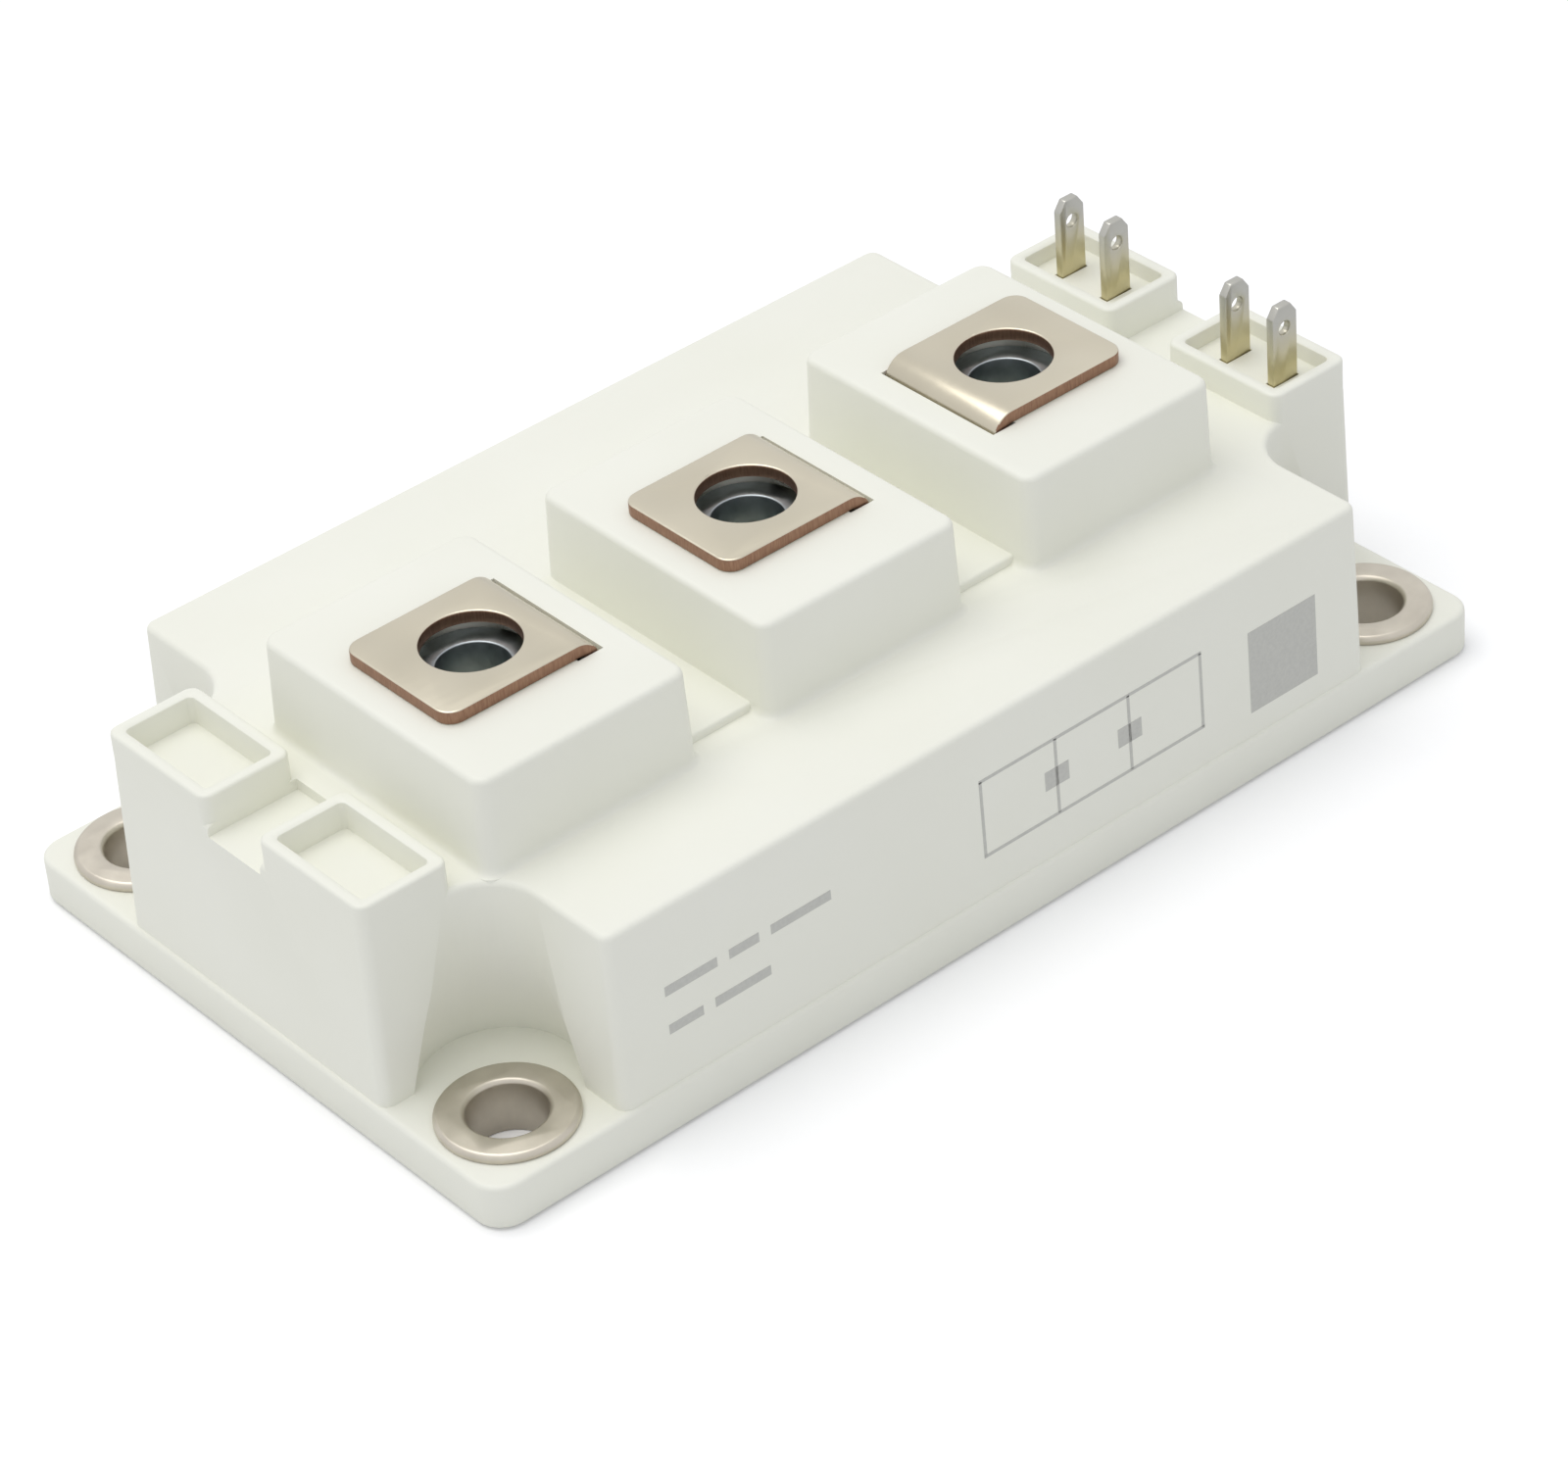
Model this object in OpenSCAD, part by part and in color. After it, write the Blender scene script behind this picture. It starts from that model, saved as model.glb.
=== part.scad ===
// Half-bridge IGBT power module in the common 62 mm housing.
// X runs along the module, the marked side faces -Y and the control pins are at +X.
// The origin is the middle of the baseplate's underside. Millimetres.

/* [Mounting] */
// Distance between mounting holes along the module
hole_pitch_x = 93; // [90:0.5:98]
// Distance between mounting holes across the module
hole_pitch_y = 48; // [46:0.5:54]
// From a mounting hole's axis to the flange's edge
hole_edge = 6.7; // [6.4:0.1:8]
// Bore of the mounting eyelets
eyelet_bore_d = 6.5; // [5.5:0.1:7]
// Wall of an eyelet's tube
eyelet_wall = 0.9; // [0.6:0.1:1.2]
// Diameter of an eyelet's head
eyelet_head_d = 11.5; // [10:0.1:12]
// How far an eyelet's head stands above the flange
eyelet_head_t = 0.8; // [0.5:0.1:1.5]

/* [Baseplate] */
// Thickness of the copper baseplate
plate_t = 3; // [2.5:0.1:5]
// How far the baseplate stands below the housing
plate_proud = 0.25; // [0.1:0.05:0.5]
// Gap round the baseplate in its pocket
plate_clear = 0.1; // [0.05:0.05:0.3]
// Width of the housing's rim beside the baseplate
rim_w = 1.2; // [1:0.1:2]

/* [Housing] */
// Height of the flange's top face
flange_h = 4.2; // [4:0.1:6]
// Corner radius of the flange
flange_r = 2.5; // [1:0.1:4]
// Bevel round the flange's top edge
flange_bevel = 0.4; // [0.2:0.1:0.8]
// Height of the body's flat deck
deck_h = 20.6; // [19:0.1:23]
// Step from the flange's edge in to the body
body_inset = 0.4; // [0.2:0.1:1]
// Draft of the moulded walls in degrees
draft = 1.6; // [0.5:0.1:2]
// Rounding of the body's upright edges
edge_r = 1; // [0.5:0.1:2]
// Wall of the body round the inner space
wall = 2.2; // [1.6:0.1:3]
// Wall between a driver scoop and the inner space
scoop_wall = 1.6; // [1.2:0.1:2.2]
// Roof of the body over the inner space
roof_t = 2; // [1.5:0.1:3]
// Room beside a mounting screw along the module
recess_x = 6.3; // [6:0.1:7]
// Room beside a mounting screw across the module
recess_y = 7.2; // [6:0.1:8]
// Fillet in the inner corner of a recess
recess_r = 5; // [2:0.1:6]
// Radius of the driver scoop at the flange
scoop_r = 6.7; // [6:0.1:7.5]
// Height of the driver scoop above the flange
scoop_h = 12; // [8:0.5:14]
// Lean of the driver scoop's side in degrees
scoop_lean = 14; // [8:1:18]

/* [End towers] */
// Length of a tower along the module
tower_l = 8.6; // [7:0.1:10]
// Height of the towers above the deck
tower_rise = 2.6; // [1:0.1:4]
// Gap between the two towers of one end
tower_gap = 6.8; // [5:0.1:9]
// Depth of the gap's floor below the deck
tower_gap_drop = 1; // [0.5:0.1:1.5]
// Wall round a tower's pocket
pocket_wall = 1.1; // [0.8:0.1:1.6]
// Depth of the empty pockets
pocket_depth = 3.7; // [1.5:0.1:3.8]
// Depth of the shallow recess round the control pins
pin_recess_depth = 1.6; // [1:0.1:2.2]

/* [Terminal blocks] */
// Distance between power terminals
terminal_pitch = 28; // [26:0.5:30]
// Place of the middle terminal along the module
terminal_mid_x = -2.7; // [-4:0.1:0]
// Place of the terminals across the module
terminal_y = -3.7; // [-5:0.1:0]
// Length of a block along the module
block_l = 20.6; // [19:0.1:23]
// Length of a block across the module
block_w = 27.8; // [24:0.1:32]
// Height of the blocks above the deck
block_rise = 8.7; // [8:0.1:11]
// Flare at a block's foot
block_foot = 0.6; // [0.3:0.1:1]
// Height of the raised floor between blocks
pad_rise = 0.8; // [0.4:0.1:1.5]
// Set-back of the raised floor from the blocks' front
pad_setback = 2; // [1:0.1:4]

/* [Power terminals] */
// Thickness of the terminal sheet
term_t = 1.2; // [0.8:0.1:1.5]
// Width of a terminal across the module
term_w = 13.4; // [11:0.1:16]
// From the screw axis to the free edge
term_free = 7.5; // [6:0.1:9]
// From the screw axis to the outside of the bend
term_bend = 7.4; // [7.2:0.1:8.6]
// Inside radius of the bend
bend_r = 1; // [0.5:0.1:1.5]
// Hole for the terminal screw
term_hole_d = 8.2; // [6.6:0.1:9]
// Rounding of the terminal's free corners
term_corner_r = 1.5; // [0.5:0.1:3]
// Width of the leg inside the module
leg_w = 8; // [5:0.1:11]
// Length of the foot soldered to the tile
foot_l = 5; // [3:0.1:7]
// Room on each side of a leg in its slot
leg_clear = 0.15; // [0.05:0.05:0.3]

/* [Nuts] */
// Thread of the terminal nuts
nut_thread_d = 6; // [5:1:6]
// Width of a nut across its flats
nut_af = 10; // [8:0.1:10.2]
// Height of a nut
nut_h = 5; // [4:0.1:5.5]
// Room above a nut below the terminal
nut_gap = 1; // [0.5:0.1:1.5]
// Room on each side of a nut in its pocket
nut_clear = 0.1; // [0.05:0.05:0.15]
// Diameter of the relief below a nut
relief_d = 7; // [6.5:0.1:8]
// Depth of the relief below a nut
relief_depth = 2.7; // [1:0.1:3.5]

/* [Control pins] */
// Distance between the two pins of a pair
pin_pitch = 5.6; // [4.5:0.1:7]
// Place of the back pair of pins across the module
pin_back_y = 10; // [9.6:0.1:10.4]
// Place of the front pair of pins across the module
pin_front_y = -10.3; // [-10.6:0.1:-9.6]
// Width of a pin
pin_w = 2.8; // [2:0.1:3.2]
// Thickness of a pin
pin_t = 0.8; // [0.5:0.1:1]
// Height of the pins' tips above the towers
pin_rise = 5.8; // [4:0.1:9]
// Hole near a pin's tip
pin_hole_d = 1.3; // [0.8:0.1:1.6]
// Hole's distance below the tip
pin_hole_drop = 2.2; // [1.6:0.1:3]
// Room on each side of a pin in its slot
pin_clear = 0.1; // [0.05:0.05:0.2]

/* [Ceramic tiles and chips] */
// Thickness of a tile's ceramic
ceramic_t = 0.6; // [0.3:0.1:1]
// Thickness of the copper on each side of a tile
copper_t = 0.3; // [0.2:0.05:0.5]
// Room between the tiles and the body's walls
tile_room = 1.65; // [1.4:0.05:3]
// Gap between the two tiles
tile_gap = 2; // [1:0.1:3]
// Bare edge of ceramic round the copper
tile_margin = 1; // [0.5:0.1:2]
// Gap etched between copper areas
etch_gap = 1; // [0.6:0.1:1.5]
// Thickness of the chips
chip_t = 0.4; // [0.2:0.05:0.5]
// Side of a transistor chip
igbt_side = 9; // [7:0.1:9.3]
// Side of a diode chip
diode_side = 7; // [5:0.1:9]
// Width of a pin's lead on the tile
lead_w = 1.6; // [1:0.1:1.8]
// Bare copper on each side of a pin's lead
lead_margin = 0.3; // [0.2:0.1:0.6]

/* [Hidden] */
$fn = 64;
eps = 0.01;

// Flange and baseplate.
module_l = hole_pitch_x + 2 * hole_edge;
module_w = hole_pitch_y + 2 * hole_edge;
plate_l = module_l - 2 * (rim_w + plate_clear);
plate_w = module_w - 2 * (rim_w + plate_clear);
plate_r = max(0.5, flange_r - rim_w);

// Body outline at its foot and how much it narrows up to the deck.
body_half_l = module_l / 2 - body_inset;
body_half_w = module_w / 2 - body_inset;
waist_half_l = hole_pitch_x / 2 - recess_x;
lobe_half_w = hole_pitch_y / 2 - recess_y;
body_h = deck_h - flange_h;
taper_x = 1 - body_h * tan(draft) / body_half_l;
taper_y = 1 - body_h * tan(draft) / body_half_w;
top_half_l = body_half_l * taper_x;
top_lobe_w = lobe_half_w * taper_y;

// Driver scoop: a cone beside each screw, narrowing upward.
scoop_in_x = 2.1;
scoop_in_y = 3.5;
scoop_top_r = scoop_r - scoop_h * tan(scoop_lean);

// Inner space.
cavity_half_l = waist_half_l * taper_x - wall;
cavity_half_w = body_half_w * taper_y - wall;
cavity_lobe_l = top_half_l - wall;
cavity_lobe_w = top_lobe_w - wall;
cavity_top = deck_h - roof_t;

// End towers.
tower_w = top_lobe_w - tower_gap / 2;
tower_x = top_half_l - tower_l / 2;
tower_y = (top_lobe_w + tower_gap / 2) / 2;
tower_top = deck_h + tower_rise;
pin_x = tower_x;
pin_tip = tower_top + pin_rise;

// Terminals: number 1 at -X; each bends down on the side given by its sign.
term_x = [for (i = [-1 : 1]) terminal_mid_x + i * terminal_pitch];
bend_side = [1, 1, -1];
block_top = deck_h + block_rise;
term_top = block_top + term_t;

// Nuts and their pockets.
nut_top = block_top - nut_gap;
nut_floor = nut_top - nut_h;
nut_bore_r = nut_thread_d / 2;

// Tile stack, from the baseplate upward.
tile_l = cavity_half_l - tile_gap / 2 - tile_room;
tile_w = 2 * (cavity_half_w - tile_room);
tile_x = (tile_l + tile_gap) / 2;
ceramic_z = plate_t + copper_t;
top_copper_z = ceramic_z + ceramic_t;
chip_z = top_copper_z + copper_t;
area_w = (tile_w - 2 * tile_margin - 2 * etch_gap) / 3;
area_l = tile_l - 2 * tile_margin;
lead_x = tile_x + area_l / 2 - lead_margin - lead_w;
chip_zone_l = area_l - lead_w - 2 * lead_margin;
chip_pitch = (chip_zone_l - igbt_side) / 2;
chip_mid_x = tile_x - lead_w / 2 - lead_margin;

// Pins 1 to 4 run from the back of the module to its front.
pin_y = [
    pin_back_y + pin_pitch / 2,
    pin_back_y - pin_pitch / 2,
    pin_front_y + pin_pitch / 2,
    pin_front_y - pin_pitch / 2
];

corners = [[-1, -1], [1, -1], [1, 1], [-1, 1]];

// Rectangle about the origin with true arcs at its corners.
module round_rect(l, w, r) {
    square([l - 2 * r, w], center = true);
    square([l, w - 2 * r], center = true);
    for (c = corners)
        translate([c[0] * (l / 2 - r), c[1] * (w / 2 - r)])
            circle(r = r);
}

// Straight block with rounded upright edges.
module round_block(l, w, h, r) {
    linear_extrude(height = h)
        round_rect(l, w, r);
}

// Block whose sides lean in by an equal amount on every side.
module drafted_block(l, w, h, r, lean) {
    linear_extrude(height = h, scale = [1 - 2 * lean / l, 1 - 2 * lean / w], slices = 1)
        offset(r = r, $fn = 24)
            square([l - 2 * r, w - 2 * r], center = true);
}

// Waisted outline of the body at its foot.
module body_outline() {
    offset(r = edge_r, $fn = 32)
        offset(r = -edge_r - recess_r, $fn = 48)
            offset(delta = recess_r) {
                square([2 * waist_half_l, 2 * body_half_w], center = true);
                square([2 * body_half_l, 2 * lobe_half_w], center = true);
            }
}

module body_shell() {
    translate([0, 0, flange_h])
        linear_extrude(height = body_h, scale = [taper_x, taper_y], slices = 1)
            body_outline();
}

module flange() {
    translate([0, 0, plate_proud])
        round_block(module_l, module_w, flange_h - flange_bevel - plate_proud, flange_r);
    translate([0, 0, flange_h - flange_bevel])
        drafted_block(module_l, module_w, flange_bevel, flange_r, flange_bevel);
}

module terminal_blocks() {
    foot_h = 2 * block_foot;
    lean = block_rise * tan(draft);
    for (x = term_x)
        translate([x, terminal_y, deck_h]) {
            drafted_block(block_l + 2 * lean, block_w + 2 * lean, block_rise, edge_r, lean);
            drafted_block(
                block_l + 2 * (lean + block_foot),
                block_w + 2 * (lean + block_foot),
                foot_h,
                edge_r + block_foot,
                block_foot * 1.5
            );
        }
    for (i = [0 : 1])
        translate([term_x[i], terminal_y - block_w / 2 + pad_setback, deck_h - eps])
            cube([terminal_pitch, block_w - pad_setback, pad_rise + eps]);
}

module towers() {
    for (c = corners)
        translate([c[0] * tower_x, c[1] * tower_y, deck_h - eps])
            round_block(tower_l, tower_w, tower_rise + eps, edge_r);
}

module inner_space() {
    pocket_l = module_l - 2 * rim_w;
    pocket_w = module_w - 2 * rim_w;
    round_block(pocket_l, pocket_w, plate_t, plate_r + plate_clear);
    difference() {
        translate([0, 0, plate_t - eps])
            linear_extrude(height = cavity_top - plate_t + eps) {
                square([2 * cavity_half_l, 2 * cavity_half_w], center = true);
                square([2 * cavity_lobe_l, 2 * cavity_lobe_w], center = true);
            }
        driver_scoops(scoop_wall);
    }
}

module mounting_places() {
    for (c = corners)
        translate([c[0] * hole_pitch_x / 2, c[1] * hole_pitch_y / 2, 0])
            children();
}

// The cones, or with a wall round them the room that the inner space leaves for them.
module driver_scoops(w = 0) {
    for (c = corners)
        translate([
            c[0] * (hole_pitch_x / 2 - scoop_in_x),
            c[1] * (hole_pitch_y / 2 - scoop_in_y),
            flange_h
        ]) {
            cylinder(r1 = scoop_r + w, r2 = scoop_top_r + w, h = scoop_h + w);
            if (w > 0)
                translate([0, 0, plate_t - flange_h - 2 * eps])
                    cylinder(r = scoop_r + w, h = flange_h - plate_t + 3 * eps);
        }
}

module nut_pocket() {
    translate([0, 0, nut_floor])
        rotate([0, 0, 30])
            cylinder(d = (nut_af + 2 * nut_clear) / cos(30), h = nut_h + nut_gap + eps, $fn = 6);
    translate([0, 0, nut_floor - relief_depth])
        cylinder(d = relief_d, h = relief_depth + eps);
}

// Slot for a terminal's leg, with room for its bend at the top.
module leg_slot() {
    slot_l = term_t + 2 * leg_clear;
    slot_w = term_w + 2 * leg_clear;
    bend_l = term_t + bend_r + leg_clear;
    translate([term_bend - term_t - leg_clear, -slot_w / 2, cavity_top - eps])
        cube([slot_l, slot_w, block_top - cavity_top + 2 * eps]);
    translate([term_bend - bend_l, -slot_w / 2, block_top - bend_r - leg_clear])
        cube([bend_l, slot_w, bend_r + leg_clear + eps]);
}

module tower_pockets() {
    pocket_l = tower_l - 2 * pocket_wall;
    pocket_w = tower_w - 2 * pocket_wall;
    for (c = corners) {
        depth = c[0] < 0 ? pocket_depth : pin_recess_depth;
        translate([c[0] * tower_x, c[1] * tower_y, tower_top - depth])
            round_block(pocket_l, pocket_w, depth + eps, 0.4);
    }
}

module tower_gaps() {
    for (s = [-1, 1])
        translate([s * tower_x - tower_l / 2, -tower_gap / 2, deck_h - tower_gap_drop])
            translate([s < 0 ? -edge_r : 0, 0, 0])
                cube([tower_l + edge_r, tower_gap, tower_gap_drop + eps]);
}

module pin_slots() {
    for (y = pin_y)
        translate([pin_x, y, (cavity_top + tower_top) / 2])
            cube([pin_w + 2 * pin_clear, pin_t + 2 * pin_clear, tower_top - cavity_top + 1], center = true);
}

module housing() {
    color("ivory")
    difference() {
        union() {
            flange();
            body_shell();
            terminal_blocks();
            towers();
        }
        inner_space();
        driver_scoops();
        mounting_places()
            cylinder(d = eyelet_bore_d + 2 * eyelet_wall, h = 3 * flange_h, center = true);
        for (i = [0 : 2])
            translate([term_x[i], terminal_y, 0]) {
                nut_pocket();
                mirror([bend_side[i] < 0 ? 1 : 0, 0, 0])
                    leg_slot();
            }
        tower_pockets();
        tower_gaps();
        pin_slots();
    }
}

module baseplate() {
    color("silver")
    difference() {
        round_block(plate_l, plate_w, plate_t, plate_r);
        mounting_places() {
            translate([0, 0, -eps])
                cylinder(d = eyelet_bore_d + 2 * eyelet_wall, h = plate_t + 2 * eps);
            translate([0, 0, -eps])
                cylinder(d = eyelet_bore_d + 4 * eyelet_wall, h = eyelet_wall + eps);
        }
    }
}

// Rolled tube: flat head on the flange and a lip in the baseplate's counterbore.
module mounting_eyelet(c) {
    bore_r = eyelet_bore_d / 2;
    tube_r = bore_r + eyelet_wall;
    lip_r = tube_r + eyelet_wall;
    top = flange_h + eyelet_head_t;
    color("rosybrown")
    translate([c[0] * hole_pitch_x / 2, c[1] * hole_pitch_y / 2, 0])
        rotate_extrude()
            polygon([
                [bore_r, 0],
                [lip_r, 0],
                [lip_r, eyelet_wall],
                [tube_r, eyelet_wall],
                [tube_r, flange_h],
                [eyelet_head_d / 2, flange_h],
                [eyelet_head_d / 2, top - 0.3],
                [eyelet_head_d / 2 - 0.3, top],
                [bore_r + 0.3, top],
                [bore_r, top - 0.3]
            ]);
}

// Terminal in side view: plate, bend, leg and foot as one folded strip.
module terminal_profile() {
    leg_bottom = chip_z;
    outer_r = bend_r + term_t;
    difference() {
        union() {
            translate([-term_free, block_top])
                square([term_free + term_bend - outer_r, term_t]);
            translate([term_bend - outer_r, term_top - outer_r])
                intersection() {
                    circle(r = outer_r);
                    square(outer_r);
                }
            translate([term_bend - term_t, leg_bottom])
                square([term_t, term_top - outer_r - leg_bottom]);
            translate([term_bend - term_t, leg_bottom])
                square([foot_l, term_t]);
        }
        translate([term_bend - outer_r, term_top - outer_r])
            circle(r = bend_r);
    }
}

module terminal_strip() {
    rotate([90, 0, 0])
        linear_extrude(height = term_w, center = true)
            terminal_profile();
}

// What stays of the strip in plan: rounded free corners and a narrow inner leg.
module terminal_envelope() {
    l = term_free + term_bend;
    translate([(term_bend - term_free) / 2, 0, cavity_top])
        intersection() {
            round_block(l, term_w, term_top, term_corner_r);
            translate([0, 0, term_top / 2])
                cube([l, term_w, term_top], center = true);
        }
    translate([term_bend / 2, 0, cavity_top])
        translate([-1, -term_w / 2, 0])
            cube([term_bend, term_w, term_top]);
    translate([-term_free, -leg_w / 2, 0])
        cube([l + foot_l, leg_w, term_top]);
}

module power_terminal(i) {
    color("lightgray")
    translate([term_x[i], terminal_y, 0])
        mirror([bend_side[i] < 0 ? 1 : 0, 0, 0])
            difference() {
                intersection() {
                    terminal_strip();
                    terminal_envelope();
                }
                translate([0, 0, block_top - eps])
                    cylinder(d = term_hole_d, h = term_t + 2 * eps);
            }
}

module terminal_nut(i) {
    color("gray")
    translate([term_x[i], terminal_y, nut_floor])
        difference() {
            intersection() {
                rotate([0, 0, 30])
                    cylinder(d = nut_af / cos(30), h = nut_h, $fn = 6);
                union() {
                    translate([0, 0, nut_h / 2])
                        cylinder(d1 = nut_af / cos(30) + 1, d2 = nut_af, h = nut_h / 2 + eps);
                    cylinder(d = nut_af / cos(30) + 1, h = nut_h / 2);
                }
            }
            translate([0, 0, -eps])
                cylinder(r = nut_bore_r, h = nut_h + 2 * eps);
        }
}

// Flat tab with a tapered tip, running down to the tile's copper.
module control_pin(i) {
    tip_w = pin_w / 2;
    tip_h = 1;
    root_z = cavity_top - 2.8;
    jog_x = pin_x - lead_x;
    jog_h = 1.6;
    color("gold")
    translate([pin_x, pin_y[i], 0])
        difference() {
            rotate([90, 0, 0])
                linear_extrude(height = pin_t, center = true)
                    union() {
                        polygon([
                            [-pin_w / 2, root_z],
                            [pin_w / 2, root_z],
                            [pin_w / 2, pin_tip - tip_h],
                            [tip_w / 2, pin_tip],
                            [-tip_w / 2, pin_tip],
                            [-pin_w / 2, pin_tip - tip_h]
                        ]);
                        translate([-jog_x, root_z])
                            square([jog_x, jog_h]);
                        translate([-jog_x, chip_z])
                            square([lead_w, root_z + jog_h - chip_z]);
                    }
            translate([0, 0, pin_tip - pin_hole_drop])
                rotate([90, 0, 0])
                    cylinder(d = pin_hole_d, h = 3 * pin_t, center = true);
        }
}

module tile_backing(s) {
    color("peru")
    translate([s * tile_x, 0, plate_t + copper_t / 2])
        cube([tile_l - 2 * tile_margin, tile_w - 2 * tile_margin, copper_t], center = true);
}

module ceramic_tile(s) {
    color("white")
    translate([s * tile_x, 0, ceramic_z + ceramic_t / 2])
        cube([tile_l, tile_w, ceramic_t], center = true);
}

// Three etched areas side by side across the module.
module tile_copper(s) {
    color("chocolate")
    for (row = [-1 : 1])
        translate([s * tile_x, row * (area_w + etch_gap), top_copper_z + copper_t / 2])
            cube([area_l, area_w, copper_t], center = true);
}

// Column -1 to 1 along a tile; transistors in the front area, diodes in the back one.
module chip(s, column, side, row) {
    translate([
        s * chip_mid_x + column * chip_pitch,
        row * (area_w + etch_gap),
        chip_z + chip_t / 2
    ])
        cube([side, side, chip_t], center = true);
}

module igbt_chip(i) {
    color("dimgray")
        chip(i < 3 ? -1 : 1, i % 3 - 1, igbt_side, -1);
}

module diode_chip(i) {
    color("darkslategray")
        chip(i < 3 ? -1 : 1, i % 3 - 1, diode_side, 1);
}

housing();
baseplate();
mounting_eyelet(corners[0]);  // mounting_eyelet_1
mounting_eyelet(corners[1]);  // mounting_eyelet_2
mounting_eyelet(corners[2]);  // mounting_eyelet_3
mounting_eyelet(corners[3]);  // mounting_eyelet_4
power_terminal(0);  // power_terminal_1
power_terminal(1);  // power_terminal_2
power_terminal(2);  // power_terminal_3
terminal_nut(0);  // terminal_nut_1
terminal_nut(1);  // terminal_nut_2
terminal_nut(2);  // terminal_nut_3
control_pin(0);  // control_pin_1
control_pin(1);  // control_pin_2
control_pin(2);  // control_pin_3
control_pin(3);  // control_pin_4
tile_backing(-1);  // tile_backing_1
tile_backing(1);  // tile_backing_2
ceramic_tile(-1);  // ceramic_tile_1
ceramic_tile(1);  // ceramic_tile_2
tile_copper(-1);  // tile_copper_1
tile_copper(1);  // tile_copper_2
igbt_chip(0);  // igbt_chip_1
igbt_chip(1);  // igbt_chip_2
igbt_chip(2);  // igbt_chip_3
igbt_chip(3);  // igbt_chip_4
igbt_chip(4);  // igbt_chip_5
igbt_chip(5);  // igbt_chip_6
diode_chip(0);  // diode_chip_1
diode_chip(1);  // diode_chip_2
diode_chip(2);  // diode_chip_3
diode_chip(3);  // diode_chip_4
diode_chip(4);  // diode_chip_5
diode_chip(5);  // diode_chip_6
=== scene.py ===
import math

import bpy
from mathutils import Matrix, Vector


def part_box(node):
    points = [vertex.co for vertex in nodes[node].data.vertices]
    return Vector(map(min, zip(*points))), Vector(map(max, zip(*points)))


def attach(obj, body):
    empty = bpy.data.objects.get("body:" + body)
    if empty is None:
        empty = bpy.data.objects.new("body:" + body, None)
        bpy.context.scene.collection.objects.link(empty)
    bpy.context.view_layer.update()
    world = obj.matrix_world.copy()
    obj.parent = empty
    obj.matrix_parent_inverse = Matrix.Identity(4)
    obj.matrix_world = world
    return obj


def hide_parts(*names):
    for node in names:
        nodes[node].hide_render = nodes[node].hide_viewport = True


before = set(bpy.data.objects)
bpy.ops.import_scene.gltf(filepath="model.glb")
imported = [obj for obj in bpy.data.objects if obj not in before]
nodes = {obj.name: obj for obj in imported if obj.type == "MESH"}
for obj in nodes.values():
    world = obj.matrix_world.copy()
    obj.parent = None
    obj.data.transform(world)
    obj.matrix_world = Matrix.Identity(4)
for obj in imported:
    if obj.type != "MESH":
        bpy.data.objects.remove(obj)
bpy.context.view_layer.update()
mm = 0.001
print("frame loaded:", len(nodes), "nodes")


# Small tools

def deselectAll():
    if bpy.context.object and bpy.context.object.mode != "OBJECT":
        bpy.ops.object.mode_set(mode="OBJECT")
    bpy.ops.object.select_all(action="DESELECT")


def pick(obj):
    deselectAll()
    obj.select_set(True)
    bpy.context.view_layer.objects.active = obj


def copyOfNode(nodeName, pieceName):
    # own mesh, welded and with its flat areas joined up again
    piece = bpy.data.objects.new(pieceName, nodes[nodeName].data.copy())
    bpy.context.scene.collection.objects.link(piece)
    piece.data.materials.clear()
    pick(piece)
    bpy.ops.object.mode_set(mode="EDIT")
    bpy.ops.mesh.select_all(action="SELECT")
    bpy.ops.mesh.remove_doubles(threshold=2e-6)
    bpy.ops.mesh.dissolve_limited(angle_limit=math.radians(0.8))
    bpy.ops.object.mode_set(mode="OBJECT")
    return piece


def bevelEdges(piece, width, segments=3, angle=34):
    pick(piece)
    bev = piece.modifiers.new("softEdges", "BEVEL")
    bev.width = width
    bev.segments = segments
    bev.limit_method = "ANGLE"
    bev.angle_limit = math.radians(angle)
    bev.use_clamp_overlap = False
    bev.miter_outer = "MITER_ARC"
    bpy.ops.object.modifier_apply(modifier=bev.name)


def smoothPiece(piece, angle=30):
    pick(piece)
    bpy.ops.object.shade_smooth_by_angle(angle=math.radians(angle))


def applyPlace(piece):
    pick(piece)
    bpy.ops.object.transform_apply(location=True, rotation=True, scale=True)


def standFor(piece, slotName, *nodeNames):
    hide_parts(*nodeNames)
    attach(piece, "root")


# Materials

def linear(hexColor):
    rgb = [int(hexColor[i:i + 2], 16) / 255 for i in (1, 3, 5)]
    return [c / 12.92 if c <= 0.04045 else ((c + 0.055) / 1.055) ** 2.4 for c in rgb] + [1.0]


def addNode(tree, kind, links=None, **settings):
    node = tree.nodes.new(kind)
    for key, value in settings.items():
        if hasattr(node, key):
            setattr(node, key, value)
        else:
            node.inputs[key.replace("_", " ")].default_value = value
    for socket, source in (links or {}).items():
        tree.links.new(source, node.inputs[socket])
    return node


def newMaterial(name, color, metallic, roughness, ior=None):
    mat = bpy.data.materials.new(name)
    mat.use_nodes = True
    tree = mat.node_tree
    shader = tree.nodes["Principled BSDF"]
    shader.inputs["Base Color"].default_value = linear(color)
    shader.inputs["Metallic"].default_value = metallic
    shader.inputs["Roughness"].default_value = roughness
    if ior:
        shader.inputs["IOR"].default_value = ior
    coords = tree.nodes.new("ShaderNodeTexCoord").outputs["Object"]
    return mat, tree, shader, coords


def tintBetween(tree, shader, factor, low, high):
    mix = addNode(tree, "ShaderNodeMix", {"Factor": factor}, data_type="RGBA")
    mix.inputs[6].default_value = linear(low)
    mix.inputs[7].default_value = linear(high)
    tree.links.new(mix.outputs[2], shader.inputs["Base Color"])
    return mix


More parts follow.
